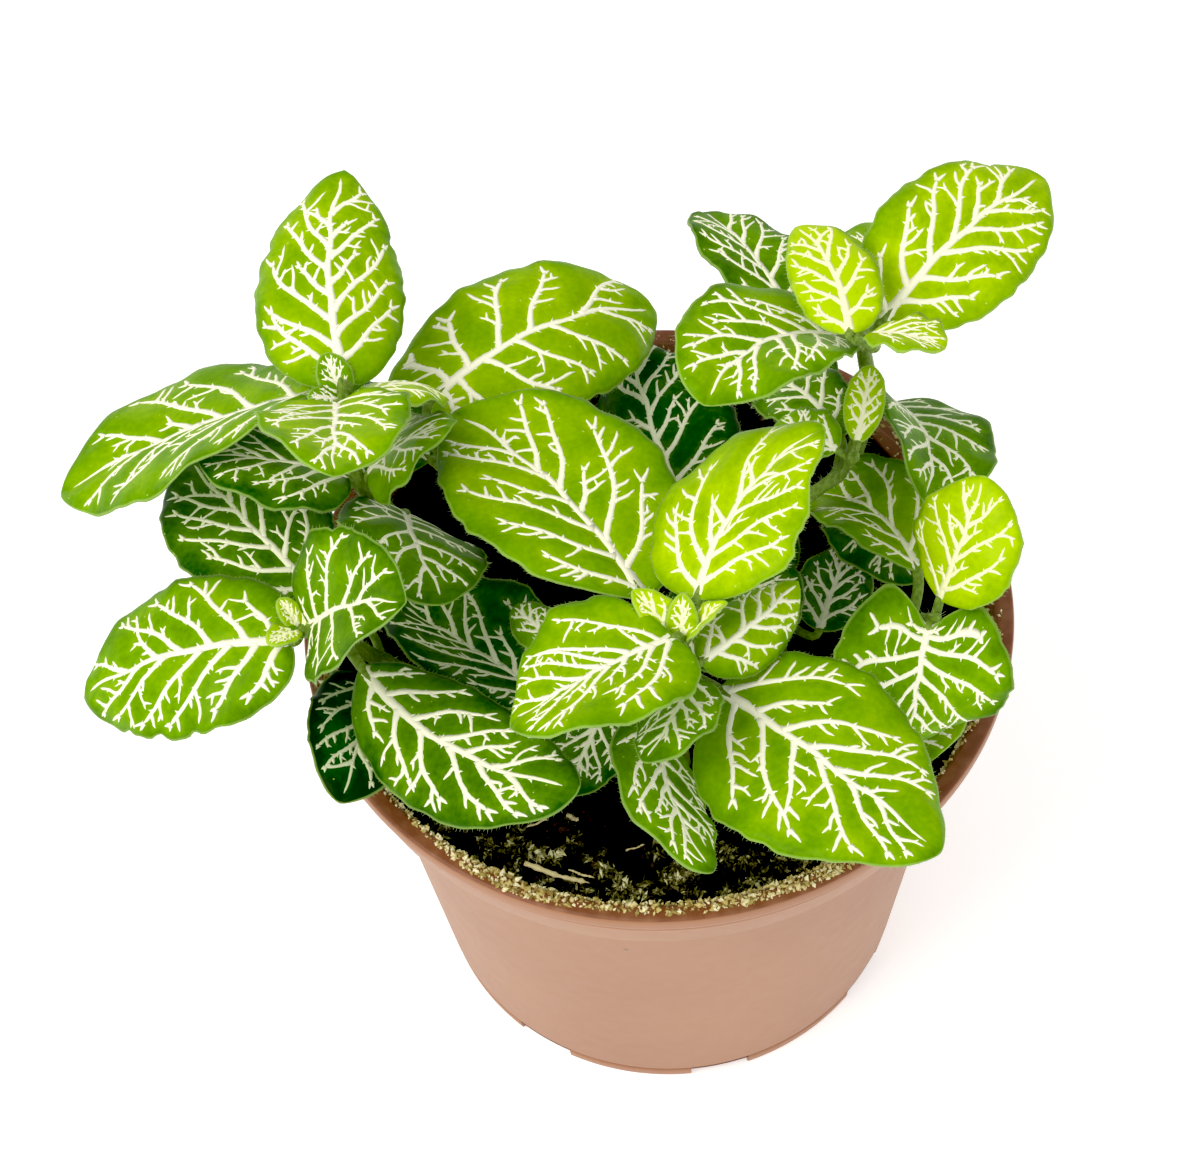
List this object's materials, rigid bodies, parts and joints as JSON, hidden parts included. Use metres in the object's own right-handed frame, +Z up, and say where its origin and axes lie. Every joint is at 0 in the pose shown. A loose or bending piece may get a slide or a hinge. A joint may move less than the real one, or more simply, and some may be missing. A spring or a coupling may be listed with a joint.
{
  "type": "potted nerve plant",
  "caption": "Small nerve plant with oval, white-veined green leaves in pairs on soft stems, growing from dark peat in a tapered terracotta-coloured plastic nursery pot.",
  "frame": {"origin": "centre of the flat underside of the pot, on the surface that the pot stands on", "axes": "+Z up along the pot's axis; +X to the right and +Y to the back as the plant is seen in the picture"},
  "size_m": [0.1224, 0.099, 0.1249],
  "materials": {
    "pot": "satin terracotta-coloured plastic, a little scuffed",
    "soil": "moist dark peat with crumbs, moss and straw",
    "stem": "soft green stem with fine hairs",
    "leaf_young": "yellow-green blade with cream-white veins",
    "leaf_full": "mid-green blade with cream-white veins",
    "leaf_old": "dark green blade with cream-white veins"
  },
  "bodies": {
    "root": {"pot": "pot", "soil": "soil", "stem_left_back": "stem", "leaf_left_back_1": "leaf_young", "leaf_left_back_2": "leaf_full", "leaf_left_back_3": "leaf_young", "leaf_left_back_4": "leaf_young", "leaf_left_back_5": "leaf_full", "leaf_left_back_6": "leaf_full", "leaf_left_back_7": "leaf_old", "leaf_left_back_8": "leaf_old", "stem_back": "stem", "leaf_back_1": "leaf_full", "leaf_back_2": "leaf_old", "leaf_back_3": "leaf_old", "stem_left_front": "stem", "leaf_left_front_1": "leaf_young", "leaf_left_front_2": "leaf_full", "leaf_left_front_3": "leaf_full", "leaf_left_front_4": "leaf_old", "leaf_left_front_5": "leaf_old", "leaf_left_front_6": "leaf_old", "stem_front_low": "stem", "leaf_front_low_1": "leaf_full", "leaf_front_low_2": "leaf_old", "leaf_front_low_3": "leaf_old", "stem_front": "stem", "leaf_front_1": "leaf_young", "leaf_front_2": "leaf_young", "leaf_front_3": "leaf_full", "leaf_front_4": "leaf_full", "leaf_front_5": "leaf_full", "leaf_front_6": "leaf_full", "leaf_front_7": "leaf_full", "leaf_front_8": "leaf_old", "stem_middle": "stem", "leaf_middle_1": "leaf_old", "leaf_middle_2": "leaf_old", "stem_right_back": "stem", "leaf_right_back_1": "leaf_young", "leaf_right_back_2": "leaf_young", "leaf_right_back_3": "leaf_full", "leaf_right_back_4": "leaf_full", "leaf_right_back_5": "leaf_full", "leaf_right_back_6": "leaf_full", "leaf_right_back_7": "leaf_full", "leaf_right_back_8": "leaf_old", "leaf_right_back_9": "leaf_old", "stem_right_inner": "stem", "leaf_right_inner_1": "leaf_young", "leaf_right_inner_2": "leaf_young", "leaf_right_inner_3": "leaf_old", "leaf_right_inner_4": "leaf_old", "leaf_right_inner_5": "leaf_old", "stem_right_front": "stem", "leaf_right_front_1": "leaf_young", "leaf_right_front_2": "leaf_full", "leaf_right_front_3": "leaf_full", "leaf_right_front_4": "leaf_old"}
  },
  "joints": []
}
